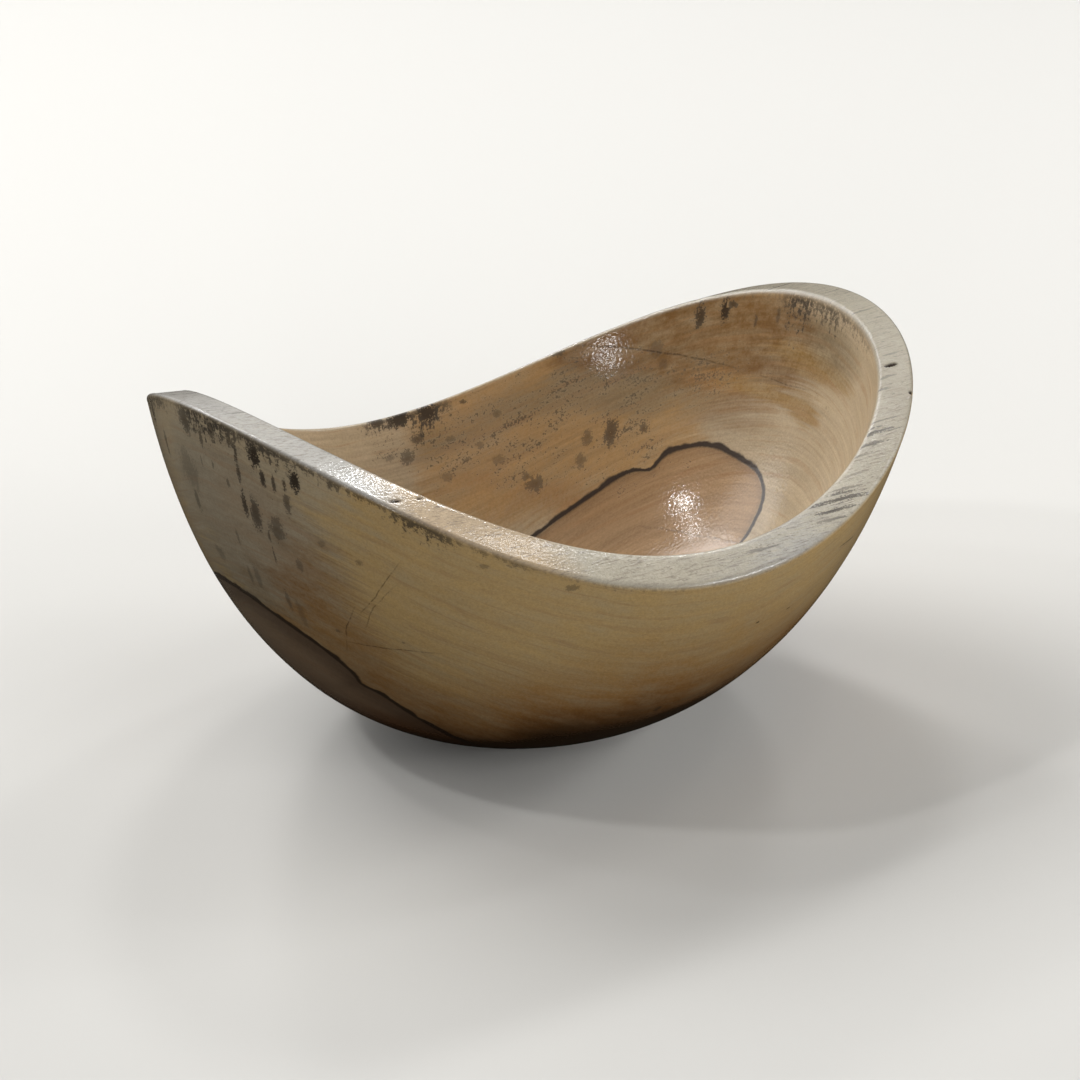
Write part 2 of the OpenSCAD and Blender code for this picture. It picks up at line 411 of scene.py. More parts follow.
# Soft changes of colour on each wall: degrees, height, width, height of the patch, strength
softPatches = {
    # those from 0 to 48 degrees high in the hollow are partly the wood's brown, partly painted shade on the
    # upper far wall
    ("brown", "in"): [
        (32, 104, 56, 24, 1.0), (18, 106, 60, 24, 0.9), (24, 90, 60, 16, 0.8), (0, 112, 60, 20, 0.6),
        (48, 90, 44, 16, 0.6), (20, 74, 60, 14, 0.4), (180, 110, 70, 30, 0.7),
    ],
    ("brown", "out"): [
        (184, 140, 40, 40, 0.5), (192, 112, 56, 56, 0.8), (5, 110, 50, 30, 0.5),
    ],
    ("rust", "in"): [
        (20, 86, 34, 9, 0.9), (57, 42, 44, 12, 0.5), (72, 50, 30, 8, 0.4), (42, 36, 30, 14, 0.4),
        (120, 60, 60, 30, 0.6), (180, 90, 70, 40, 0.6), (230, 60, 80, 30, 0.5), (275, 60, 50, 30, 0.4),
    ],
    ("rust", "out"): [
        (194, 98, 60, 60, 0.9), (203, 70, 44, 30, 0.6), (186, 126, 40, 26, 0.7), (240, 44, 130, 26, 0.4),
        (285, 40, 70, 30, 0.4), (215, 48, 50, 24, 0.4), (10, 80, 70, 40, 0.5), (60, 50, 90, 30, 0.5),
        (120, 40, 90, 30, 0.5), (155, 110, 60, 40, 0.5),
    ],
    ("honey", "in"): [
        (2, 104, 44, 12, 0.7), (10, 87, 50, 8, 0.75), (356, 86, 16, 10, 0.5), (346, 105, 34, 8, 0.4),
        (80, 66, 26, 14, 0.5), (200, 110, 50, 16, 0.6),
    ],
    ("honey", "out"): [(5, 100, 50, 14, 0.5)],
    ("olive", "in"): [
        (45, 80, 64, 14, 0.7), (38, 72, 34, 12, 0.5), (62, 72, 44, 10, 0.5), (72, 64, 34, 10, 0.5),
        (84, 60, 24, 10, 0.4), (352, 114, 44, 20, 0.8), (30, 94, 34, 7, 0.5), (150, 70, 70, 20, 0.7),
        (210, 80, 60, 20, 0.5),
    ],
    # those round 177 to 180 degrees grey the outside's left end: partly grey wood, partly painted sheen
    ("olive", "out"): [
        (177, 134, 18, 30, 0.9), (196, 120, 14, 12, 0.4), (186, 95, 24, 20, 0.4), (180, 105, 60, 110, 0.55),
        (350, 100, 30, 26, 0.7), (160, 130, 20, 26, 0.6),
    ],
    # pale patches: paler wood; in the hollow's far-left corner, on its right wall and on the outside's left
    # end they also stand for painted sheen and highlight
    ("pale", "in"): [
        (345, 92, 90, 100, 1.0), (0, 70, 54, 26, 0.8), (14, 72, 30, 12, 0.5), (106, 74, 50, 40, 1.0),
        (92, 60, 30, 34, 1.0), (60, 27, 60, 16, 0.7), (150, 30, 120, 24, 0.6), (240, 30, 120, 24, 0.5),
        (325, 80, 90, 120, 1.0), (30, 34, 60, 30, 0.4), (285, 50, 90, 50, 0.9), (255, 80, 60, 30, 0.5),
    ],
    ("pale", "out"): [
        (172, 100, 20, 90, 0.4), (300, 80, 50, 50, 0.3), (100, 50, 60, 30, 0.4),
    ],
    ("specks", "in"): [
        (22, 88, 26, 14, 1.0), (38, 58, 34, 34, 0.8), (56, 66, 64, 34, 0.95), (45, 86, 50, 18, 0.85),
        (78, 64, 40, 26, 0.95), (350, 85, 50, 40, 0.5), (66, 52, 40, 20, 0.7), (12, 98, 60, 14, 0.6),
        (90, 66, 24, 14, 0.8), (30, 112, 34, 12, 0.6), (130, 60, 60, 30, 0.7), (200, 90, 70, 40, 0.7),
    ],
    ("specks", "out"): [
        (222, 136, 34, 8, 0.8), (210, 130, 60, 40, 0.2), (350, 80, 60, 50, 0.4),
    ],
}


patchFalloff = 0.7


def softField(name):
    field = np.zeros(drop.shape)
    for side, onSide in (("in", inHollow), ("out", 1 - inHollow)):
        for degrees, height, width, tall, strength in softPatches[name, side]:
            u = (roundWall(side, degrees) * wallPart(side, height))[None, :] * 2 / width
            v = (points[..., 2] - height) * 2 / tall
            field = field + strength * np.exp(-patchFalloff * (u * u + v * v)) * onSide
    return np.clip(field, 0, 1)


# Charcoal fringes that hang from the rim of each wall: degrees, spread in degrees, depth, darkness
rimFringes = {
    "out": [
        (184, 8, 14, 1.0), (195, 6, 10, 0.95), (204, 6, 6, 0.85), (212, 5, 5, 0.75), (220, 5.5, 9, 0.9),
        (231, 6, 4, 0.6), (250, 14, 2.0, 0.45), (275, 14, 1.6, 0.4), (5, 9, 10, 0.9), (165, 8, 9, 0.8),
        (90, 12, 5, 0.6), (340, 10, 5, 0.5),
    ],
    "in": [
        (356, 7, 12, 0.85), (5, 4.5, 18, 1.0), (345, 8, 9, 0.6), (16, 6, 4, 0.6), (80, 4.5, 15, 1.0),
        (88, 6.5, 9, 1.0), (72, 7, 2, 0.5), (52, 8, 2.6, 0.5), (180, 9, 11, 0.9), (160, 7, 6, 0.7),
        (205, 8, 6, 0.6), (130, 8, 6, 0.6),
    ],
}


rimStart = 0.9  # no fringe lies on the rim itself


def fringeFields():
    depth, dark = np.zeros(drop.shape), np.zeros(drop.shape)
    for side, onSide in (("out", 1 - inHollow), ("in", inHollow)):
        for degrees, spread, deep, darkness in rimFringes[side]:
            away = (np.degrees(angle) - degrees + 180) % 360 - 180
            share = np.exp(-0.5 * (away / spread) ** 4)[None, :] * (onRim < rimStart) * onSide
            depth = np.maximum(depth, deep * share)
            dark = np.maximum(dark, darkness * share)
    return depth, dark


# Hairlines: each is a line through places given as (degrees, height), with its half-width
# and darkness. The first is the dotted line inside the hollow, the others are fine cracks.
hairlines = [
    ("in", [(14, 92), (28, 92.5), (45, 93.5), (55, 94)], 0.3, 0.6),
    ("in", [(356, 95), (4, 92.5), (14, 92)], 0.25, 0.4),
    ("out", [(217, 122), (212, 104), (207, 90)], 0.2, 0.5),
    ("out", [(216, 111), (211, 98), (208, 84)], 0.2, 0.4),
    ("out", [(208, 98), (205, 86), (203, 72)], 0.2, 0.5),
    ("out", [(203, 78), (211, 78.5), (222, 79)], 0.25, 0.5),
    ("out", [(295, 88), (299, 87), (302, 86)], 0.4, 0.5),
    ("in", [(22, 96), (22, 86)], 0.2, 0.4),
    ("in", [(32, 34), (14, 35), (352, 39)], 0.3, 0.35),
    ("out", [(160, 110), (164, 90), (166, 70)], 0.2, 0.5),
    ("out", [(30, 90), (27, 76), (20, 64)], 0.2, 0.5),
]


# For each face, how its corners lie from the nearest hairline: to the side of it, in
# half-widths, and how near to its end, from 0 to 1
def nearestHairlines(quads):
    faceHollow = inHollow.ravel()[quads].mean(1) > 0.5
    corners = points.reshape(-1, 3)[quads]
    middles = corners.mean(1)
    best = np.full(len(quads), noHairline[0])
    found = np.zeros((len(quads), 4, 3)) + noHairline
    pastEnd = 0.6  # how far past its end a line is still kept
    wallDepth = 12.0  # a face further from the line than this is on another wall
    for side, line, halfWidth, dark in hairlines:
        at = [wallPoint(side, np.array([math.radians(d)]), np.array([float(h)]))[0] for d, h in line]
        whole = sum(np.linalg.norm(b - a) for a, b in zip(at, at[1:]))
        gone = 0.0
        for a, b in zip(at, at[1:]):
            length = np.linalg.norm(b - a)
            ahead = (b - a) / length
            outward = np.array([a[0], a[1], 0]) / math.hypot(a[0], a[1])
            beside = np.cross(outward, ahead)
            s = (middles - a) @ ahead
            beyond = np.abs(s - length / 2) > length / 2 + pastEnd
            away = np.abs((middles - a) @ beside) + noHairline[0] * beyond
            away = away + noHairline[0] * (np.abs((middles - a) @ outward) > wallDepth)
            closer = (away < best) & (faceHollow == (side == "in"))
            best[closer] = away[closer]
            along = (gone + (corners[closer] - a) @ ahead) / whole
            fade = np.clip(4 * np.minimum(along, 1 - along), 0, 1)
            sideways = (corners[closer] - a) @ beside / halfWidth
            found[closer] = np.stack([sideways, fade, np.full(fade.shape, dark)], -1)
            gone += length
    return found


# Faces of the closed grid: quads between rows, and a fan at each end
def bowlFaces():
    column = np.arange(columnCount)[None, :]
    here = np.arange(rowCount - 1)[:, None] * columnCount + column
    beside = np.arange(rowCount - 1)[:, None] * columnCount + (column + 1) % columnCount
    quads = np.stack([here, beside, beside + columnCount, here + columnCount], -1).reshape(-1, 4)
    first = column[0]
    last = first + (rowCount - 1) * columnCount
    footMiddle = np.full(columnCount, rowCount * columnCount)
    footFan = np.stack([footMiddle, np.roll(first, -1), first], -1)
    hollowFan = np.stack([footMiddle + 1, last, np.roll(last, -1)], -1)
    return quads, footFan, hollowFan


quads, footFan, hollowFan = bowlFaces()
hollowSink = 0.02  # the hollow's middle lies this far under the ring beside it
middles = np.array([[0, 0, 0], [0, 0, points[-1, :, 2].mean() - hollowSink]])
allPoints = np.clip(np.vstack([points.reshape(-1, 3), middles]) * mm, cadLow, cadHigh)
mesh = bpy.data.meshes.new("bowl_wood")
mesh.from_pydata(allPoints.tolist(), [], [*footFan.tolist(), *quads.tolist(), *hollowFan.tolist()])
mesh.polygons.foreach_set("use_smooth", [True] * len(mesh.polygons))
mesh.update()


# Values at the points, for the wood's nodes. The two middles take the mean of the ring beside them.
def keepAtPoints(name, *values):
    stacked = np.stack(np.broadcast_arrays(*values), -1).astype(float)
    ends = [stacked[0].mean(0), stacked[-1].mean(0)]
    flat = np.vstack([stacked.reshape(-1, 3), ends])
    mesh.attributes.new(name, "FLOAT_VECTOR", "POINT").data.foreach_set("vector", flat.ravel())


# Values at the faces' corners, so that fine marks don't depend on how fine the mesh is
def keepAtCorners(name, values, elsewhere):
    fan = np.tile(elsewhere, (3 * columnCount, 1))
    flat = np.vstack([fan, values.reshape(-1, 3), fan])
    mesh.attributes.new(name, "FLOAT_VECTOR", "CORNER").data.foreach_set("vector", flat.ravel())


keepAtPoints("surface", onRim, inHollow, pitDepth)
keepAtPoints("depths", ringDepth, coreDepth, drop)
keepAtPoints("place", *place)
keepAtPoints("warm", *(softField(name) for name in ("rust", "honey", "brown")))
keepAtPoints("cool", *(softField(name) for name in ("olive", "pale", "specks")))
keepAtPoints("fringe", *fringeFields(), 0)
keepAtCorners("spot", nearestSpots(quads), noSpot)
keepAtCorners("hairline", nearestHairlines(quads), noHairline)


# The colour map's layout: the outside and the hollow are two discs, opened out from their middles
mapDiscs = {
    "outside": 0.29,  # across and up the map
    "hollow": 0.71,
    "reach": 0.285,
    "middle": 0.5,  # mm, so that the faces at a disc's middle have some room
}


def layOut():
    steps = np.linalg.norm(np.diff(points, axis=0), axis=-1)
    fromFoot = np.vstack([0 * angle, np.cumsum(steps, 0)]) + mapDiscs["middle"]
    fromHollow = np.vstack([0 * angle, np.cumsum(steps[::-1], 0)])[::-1] + mapDiscs["middle"]
    split = bowlSteps["foot"] - 1 + bowlSteps["outside"] + bowlSteps["rounding"]
    largest = max(fromFoot[split].max(), fromHollow[split].max())
    reach = mapDiscs["reach"] / largest
    spin = np.stack([np.cos(angle), np.sin(angle)], -1)
    outside = mapDiscs["outside"] + reach * fromFoot[..., None] * spin
    hollow = mapDiscs["hollow"] + reach * fromHollow[..., None] * spin
    row = np.arange(rowCount - 1).repeat(columnCount)
    isOutside = (row < split)[:, None, None]
    place = np.where(isOutside, outside.reshape(-1, 2)[quads], hollow.reshape(-1, 2)[quads])
    fans = []
    for name, ring, corners in (("outside", outside[0], (0, 1, 0)), ("hollow", hollow[-1], (0, 0, 1))):
        fan = ring[np.arange(columnCount)[:, None] + corners - columnCount]
        fan[:, 0] = mapDiscs[name]
        fans.append(fan.reshape(-1, 2))
    flat = np.vstack([fans[0], place.reshape(-1, 2), fans[1]])
    mesh.uv_layers.new(name="OFBake").data.foreach_set("uv", flat.ravel())


layOut()
bowl = newObject("bowl_wood", mesh)
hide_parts("bowl")
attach(bowl, "root")
print("bowl mesh:", len(mesh.vertices), "points,", len(mesh.polygons), "faces")


# sRGB hex to the linear colour that a shader reads
def colour(hexCode):
    channels = [int(hexCode[i:i + 2], 16) / 255 for i in (1, 3, 5)]
    return [c / 12.92 if c <= 0.04045 else ((c + 0.055) / 1.055) ** 2.4 for c in channels] + [1.0]


# The setting that a second word in a node's kind stands for
mainSetting = {
    "VectorMath": "operation",
    "MapRange": "interpolation_type",
    "Mix": "data_type",
}
smooth = "MapRange SMOOTHSTEP"  # a share that eases in and out


# Adds a node, sets it up, feeds its inputs with values or other nodes' outputs, in order or by
# name, and gives an output. A kind in capitals is the operation of a Math node.
def add(tree, kind, *feeds, out=0, **settings):
    if kind.isupper():
        kind, settings["operation"] = "Math", kind
    kind, *word = kind.split()
    if word:
        settings[mainSetting[kind]] = word[0]
    node = tree.nodes.new("ShaderNode" + kind)
    for name, value in settings.items():
        setattr(node, name, value)
    named = feeds and isinstance(feeds[0], dict)
    for name, feed in feeds[0].items() if named else enumerate(feeds):
        if isinstance(feed, bpy.types.NodeSocket):
            tree.links.new(feed, node.inputs[name])
        else:
            node.inputs[name].default_value = feed
    return node.outputs[out] if node.outputs else None


# Empties a new material or world, and gives the function that adds nodes to it
def nodesOf(owner):
    owner.use_nodes = True
    owner.node_tree.nodes.clear()
    return partial(add, owner.node_tree)


# Spalted hardwood, turned, sanded and oiled. To the eye: a satin skin over warm tan wood with
# faint growth rings, short grain, a thin dark line round the core and charcoal stains by the rim.
# Its colours also hold painted shade low on the outside and at the rim's right tip, and painted sheen and
# highlight at the outside's left end, on the rounded edges and in parts of the hollow.
woodLook = {
    "outside": "#c4a46f",
    # the lower outside and foot colours hold painted shade as well as the wood's own colour
    "outsideLow": "#9a642b",
    "footToneAndShade": "#352009",
    "hollow": "#b49161",
    "brown": "#6f4e27",
    "rust": "#966c3e",
    "honey": "#927240",
    "olive": "#7c7058",
    # paler wood, and in places a painted sheen
    "pale": "#b8a78c",
    "greyed": "#a8987a",
    # painted sheen: a greyish veil over the outside's left end
    "leftSheen": "#b0a58f",
    "rim": "#b4ab98",
    "rimGrey": "#b0aca4",
    "rimStreak": "#786c5c",
    "rimWarm": "#b69c78",
    # painted shade: the rim darker at its right tip
    "rimTipShade": "#9a917d",
    "coreOutside": "#8e7761",
    # the core's low colour is partly painted shade
    "coreLow": "#6b411d",
    "coreHollow": "#a3815a",
    "zoneLine": "#26160a",
    "ringLine": "#94602c",
    "stain": "#403a33",
    "stainHeart": "#20160f",
    "pit": "#35261a",
    "roughness": 0.55,
    "roughnessOf": {"grit": 0.22, "stain": 0.1},  # how far each one changes it
    "woodShine": 0.2,
    "oilShine": 0.9,
    "oilRoughness": 0.15,
    "refraction": 1.47,
    "ringSpacing": 5.5,  # mm, as all sizes and places here
    "ringWander": 1.6,  # in ring spacings
    "fibreSize": (45, 45, 0.8),  # drawn coarser than real fibres, so that they show
    "heightWander": 40.0,  # how far a height at which the wood darkens wanders
    "coreWander": (2.4, -1.2),  # how far the core's edge wanders, and its lowest place
    "coreFray": 0.5,
    "hairWander": (5.0, -2.5),  # the same of a hairline, in its half-widths
    "warmRimAt": -92.0,  # the rim is warmer round this place along the log
    "warmRimWander": -20.0,
    "leftEndWander": -30.0,
    "zoneLineWidth": 2.2,
    "zoneLineOutside": 1.3,  # the line is so many times wider outside
    "ringLineStrength": 0.3,
    "stainStrength": 0.93,
    "relief": 0.00004,  # metres
    "reliefOf": {"dots": 2.0, "fibre": 0.4, "hairline": -1.0},
    # how far each noise carries the colour patches, the tone of the grain and the edges of stains
    "patchTear": {"cloud": 0.4, "band": 0.85},
    "greyedTear": 0.5,
    "rimGreyOf": {"tornRim": 0.7, "broad": 0.9},
    "tone": {"rings": 0.16, "fibre": 0.2, "band": 0.6, "cloud": 0.24, "mottle": 0.46, "grit": 0.44},
    "spotTear": 6.0,
    "leastFringe": 0.3,  # mm
    "fringeTear": {"torn": 6.0, "mottle": 7.0},
    "speckTear": {"cloud": 6.0, "grit": 6.5, "mottle": 8.0},
    "fringeHang": (-2.1, 1.35),  # change over the fringe's depth, and value at the rim
    "speckRoom": (2.0, -2.6),  # room for specks: change over their patches, and value outside them
    # noises: what they are read from, the size of a feature in mm, detail and roughness
    "noises": {
        "broad": ("inMm", (60, 38, 38), 2.0, 0.5),
        "cloud": ("place", (15, 15, 5.5), 5.0, 0.62),
        "band": ("place", (36, 36, 1.3), 4.0, 0.6),
        "mottle": ("place", (1.5, 1.5, 1.5), 5.0, 0.74),
        "grit": ("inMm", (0.9, 0.7, 0.7), 2.0, 0.6),  # coarser than real sanding grit
        "dots": ("inMm", (1.3, 1.0, 1.0), 0.8, 0.5),  # relief that breaks up the highlights
        "tornWall": ("place", (2.0, 2.0, 5.5), 6.0, 0.72),
        "tornRim": ("inMm", (12, 0.6, 1.2), 5.0, 0.66),
        "pore": ("inMm", (2.6, 0.55, 0.8), 2.0, 0.6),  # wider than real pores, so that they show
        "edge": ("inMm", (10, 7, 7), 3.0, 0.45),
    },
    # ranges: the reading where a share begins and where it ends, and the share at each
    "ranges": {
        "ringLine": (0, 0.03, 1, 0),
        "ringFade": (0.4, 0.65, 0, 1),
        "outsideLow": (107.0, 50.0, 0, 1),  # this and the next three by height in mm
        "footToneAndShade": (75.0, 41.0, 0, 1),
        "coreLow": (74.0, 46.0, 0, 1),
        # painted shade under the bowl, towards the foot's colour
        "undersideShade": (52.0, 34.0, 0, 0.7),
        "pale": (0.78, 1.45, 0, 0.9),
        "brown": (0.78, 1.35, 0, 0.9),
        "rust": (0.83, 1.45, 0, 0.75),
        "honey": (0.86, 1.35, 0, 0.85),
        "olive": (0.88, 1.35, 0, 0.6),
        "greyed": (0.6, 0.95, 0, 0.5),
        # painted sheen on the outside's left end
        "leftSheen": (-138.0, -158.0, 0, 0.6),  # mm along the log
        "core": (0, 1.5, 0, 0.8),  # mm in from its edge
        "leftRim": (-70.0, -115.0, 0, 0.35),  # mm along the log
        "rimGrey": (0.72, 1.05, 0, 1),
        "rimWarm": (24.0, 6.0, 0, 0.8),  # mm from its middle
        # painted shade at the rim's right tip
        "rimTipShade": (68.0, 115.0, 0, 0.9),  # mm along the log
        "rimStreak": (0.5, 0.68, 0, 0.6),
        "rimEdge": (0.05, 0.6, 0, 1),
        "hollowTone": (0, 1.0, 0.26, -0.03),
        "spotReach": (0.35, 1.5, 1.9, -1.7),
        "spotEdge": (-0.35, 0.9, 0, 1),
        "spotDark": (0, 1.0, 0.1, 1),
        "spotHeart": (0, 0.6, 0, 1),
        "fringe": (-0.25, 1.0, 0, 1),
        "specks": (-0.2, 1.2, 0, 0.75),
        "pores": (0.6, 0.7, 0, 0.5),
        "halo": (5.0, 0.0, 0, 0.35),  # mm in from the core's edge, as the next
        "wideHalo": (18.0, 1.0, 0, 0.7),
        "lineSwells": (0.3, 0.7, 0.6, 1.35),
        "lineThins": (-15.0, 20.0, 0.55, 1),  # mm across the log
        "zoneLine": (0.5, 1.4, 0.95, 0),
        "hairline": (0.6, 1.6, 1, 0),
        "hairDots": (0.42, 0.52, 0.2, 1),
        "pit": (0.05, 0.6, 0, 1),
        "rimRelief": (-60.0, 110.0, 0.7, 5.0),  # mm along the log
    },
}

# What the mesh keeps at its points and corners, for the wood's nodes
keptValues = {
    "surface": ("rim", "hollow", "pit"),
    "depths": ("ring", "core", "drop"),
    "warm": ("rust", "honey", "brown"),
    "cool": ("olive", "pale", "specks"),
    "fringe": ("fringeDeep", "fringeDark"),
    "hairline": ("hairSide", "hairFade", "hairDark"),
}


def oiledTurnedWood():
    look, ranges = SimpleNamespace(**woodLook), woodLook["ranges"]
    tints = {name: colour(value) for name, value in woodLook.items() if "#" in str(value)}
    material = bpy.data.materials.new("oiled_turned_spalted_hardwood")
    put = nodesOf(material)

    # where on the bowl this is
    inMm = put("VectorMath MULTIPLY", put("TexCoord", out="Object"), [1 / mm] * 3)
    alongX, acrossY, height = (put("SeparateXYZ", inMm, out=axis) for axis in range(3))
    kept = {}
    for attribute, names in keptValues.items():
        values = put("Attribute", out="Vector", attribute_name=attribute)
        for axis, name in enumerate(names):
            kept[name] = put("SeparateXYZ", values, out=axis)
    spot = put("Attribute", out="Vector", attribute_name="spot")
    rimShare, hollowShare = kept["rim"], kept["hollow"]
    wallShare = put("SUBTRACT", 1.0, rimShare)
    outsideShare = put("SUBTRACT", 1.0, hollowShare)

    # noises, each stretched as the wood's own features are
    readFrom = {"inMm": inMm, "place": put("Attribute", out="Vector", attribute_name="place")}
    noises = {}
    for name, (source, size, detail, roughness) in look.noises.items():
        at = put("VectorMath MULTIPLY", readFrom[source], [1 / s for s in size])
        feeds = {"Vector": at, "Scale": 1.0, "Detail": detail, "Roughness": roughness}
        noises[name] = put("TexNoise", feeds)
    broad, cloud, mottle = noises["broad"], noises["cloud"], noises["mottle"]
    torn = put("Mix", {0: rimShare, 2: noises["tornWall"], 3: noises["tornRim"]})
    noises["torn"] = torn

    # growth rings lie level with the log's surface: broad tones, thin lines and fine fibres
    ringPlace = put("MULTIPLY", kept["ring"], 1 / look.ringSpacing)
    ringPlace = put("MULTIPLY_ADD", broad, look.ringWander, ringPlace)
    rings = put("TexNoise", {"W": ringPlace, "Scale": 1.0, "Detail": 1.0}, noise_dimensions="1D")
    noises["rings"] = rings
    ringSide = put("ABSOLUTE", put("SUBTRACT", rings, 0.5))
    ringLine = put("MapRange", ringSide, *ranges["ringLine"])
    ringFade = put("MapRange", cloud, *ranges["ringFade"])
    fibreSizes = zip((alongX, acrossY, kept["ring"]), look.fibreSize)
    fibreAt = put("CombineXYZ", *[put("MULTIPLY", at, 1 / size) for at, size in fibreSizes])
    noises["fibre"] = put("TexNoise", {"Vector": fibreAt, "Scale": 1.0, "Detail": 3.0, "Roughness": 0.6})

    # the outside is paler above, browner low down and dark at the foot, and the core darkens low down too:
    # partly the wood's own colour, partly painted shade on the lower outside and the underside
    lowness = put("MULTIPLY_ADD", broad, look.heightWander, height)
    lowShares = {}
    for name in ("outsideLow", "footToneAndShade", "coreLow", "undersideShade"):
        lowShares[name] = put(smooth, lowness, *ranges[name])
        if name != "outsideLow":
            lowShares[name] = put("MULTIPLY", lowShares[name], outsideShare)

    # layers of colour on the walls: soft patches broken up by the clouds, the foot with its painted
    # shade, grey wood in small clouds, and a painted greyish sheen on the left end
    layers = [(lowShares["outsideLow"], "outsideLow"), (hollowShare, "hollow")]
    for name in ("pale", "brown", "rust", "honey", "olive"):
        share = kept[name]
        for noiseName, weight in look.patchTear.items():
            share = put("MULTIPLY_ADD", noises[noiseName], weight, share)
        layers.append((put(smooth, share, *ranges[name]), name))
    footShadeShare = lowShares["footToneAndShade"]
    layers.append((footShadeShare, "footToneAndShade"))
    greyed = put("MULTIPLY_ADD", mottle, look.greyedTear, cloud)
    greyed = put("MapRange", greyed, *ranges["greyed"])
    greyed = put("MULTIPLY", greyed, put("SUBTRACT", 1.0, footShadeShare))
    layers.append((greyed, "greyed"))
    # painted sheen on the left end of the outside
    leftSheenShare = put("MULTIPLY_ADD", cloud, look.leftEndWander, alongX)
    leftSheenShare = put(smooth, leftSheenShare, *ranges["leftSheen"])
    leftSheenShare = put("MULTIPLY", leftSheenShare, outsideShare)
    layers.append((leftSheenShare, "leftSheen"))
    walls = tints["outside"]
    for share, name in layers:
        walls = put("Mix RGBA", {0: share, 6: walls, 7: tints[name]}, out=2)

    # the core, whose edge wanders a little
    wander = put("MULTIPLY_ADD", noises["edge"], *look.coreWander)
    coreEdge = put("ADD", kept["core"], wander)
    coreEdge = put("MULTIPLY_ADD", mottle, look.coreFray, coreEdge)
    coreShare = put(smooth, coreEdge, *ranges["core"])
    coreTint = tints["coreOutside"]
    for share, name in ((hollowShare, "coreHollow"), (lowShares["coreLow"], "coreLow")):
        coreTint = put("Mix RGBA", {0: share, 6: coreTint, 7: tints[name]}, out=2)
    walls = put("Mix RGBA", {0: coreShare, 6: walls, 7: coreTint}, out=2)

    # the rim is weathered grey, with fine streaks along the log, warmer on the left; painted shade darkens
    # its right tip
    greyShare = put("MULTIPLY", noises["tornRim"], look.rimGreyOf["tornRim"])
    greyShare = put("MULTIPLY_ADD", broad, look.rimGreyOf["broad"], greyShare)
    leftShare = put("MapRange", alongX, *ranges["leftRim"])
    greyShare = put("ADD", greyShare, leftShare)
    warmAway = put("ABSOLUTE", put("ADD", alongX, -look.warmRimAt))
    warmAway = put("MULTIPLY_ADD", broad, look.warmRimWander, warmAway)
    rim = tints["rim"]
    for reading, kind, name in (
        (greyShare, smooth, "rimGrey"),
        (warmAway, "MapRange", "rimWarm"),
        (alongX, "MapRange", "rimTipShade"),
        (noises["tornRim"], smooth, "rimStreak"),
    ):
        share = put(kind, reading, *ranges[name])
        rim = put("Mix RGBA", {0: share, 6: rim, 7: tints[name]}, out=2)
    # the rim's colour reaches over the rounded edges: partly worn pale edges, partly a painted edge
    # highlight
    rimEdge = put(smooth, rimShare, *ranges["rimEdge"])
    base = put("Mix RGBA", {0: rimEdge, 6: walls, 7: rim}, out=2)

    # grain: lighter and darker by rings, fibres, clouds and grit
    tone = put("MapRange", hollowShare, *ranges["hollowTone"])
    bandTone = put("MapRange", hollowShare, 0.0, 1.0, 0.0, look.tone["band"])
    for name, weight in {**look.tone, "band": bandTone}.items():
        tone = put("MULTIPLY_ADD", noises[name], weight, tone)
    grained = put("HueSaturation", {"Value": tone, "Color": base})
    lineShare = put("MULTIPLY", ringLine, ringFade)
    lineMost = put("MULTIPLY", wallShare, look.ringLineStrength)
    lineShare = put("MULTIPLY", lineShare, lineMost)
    grained = put("Mix RGBA", {0: lineShare, 6: grained, 7: tints["ringLine"]}, out=2)

    # dark spots: flames whose outline is torn along the grain
    spotDark = put("SeparateXYZ", spot, out=2)
    spotReach = put("VectorMath MULTIPLY", spot, (1, 1, 0))
    spotReach = put("VectorMath LENGTH", spotReach, out="Value")
    ragged = put("ADD", put("Mix", {0: rimShare, 2: mottle, 3: torn}), noises["grit"])
    ragged = put("SUBTRACT", put("ADD", torn, ragged), 1.5)
    spotShare = put("MapRange", spotReach, *ranges["spotReach"])
    spotShare = put("MULTIPLY_ADD", ragged, look.spotTear, spotShare)
    spotShare = put(smooth, spotShare, *ranges["spotEdge"])
    spotMost = put("MapRange", spotDark, *ranges["spotDark"])
    spotShare = put("MULTIPLY", spotShare, spotMost)
    spotHeart = put("SUBTRACT", spotDark, spotReach)
    spotHeart = put("MapRange", spotHeart, *ranges["spotHeart"])

    # charcoal fringes under the rim
    hang = put("DIVIDE", kept["drop"], put("ADD", kept["fringeDeep"], look.leastFringe))
    hang = put("MULTIPLY_ADD", hang, *look.fringeHang)
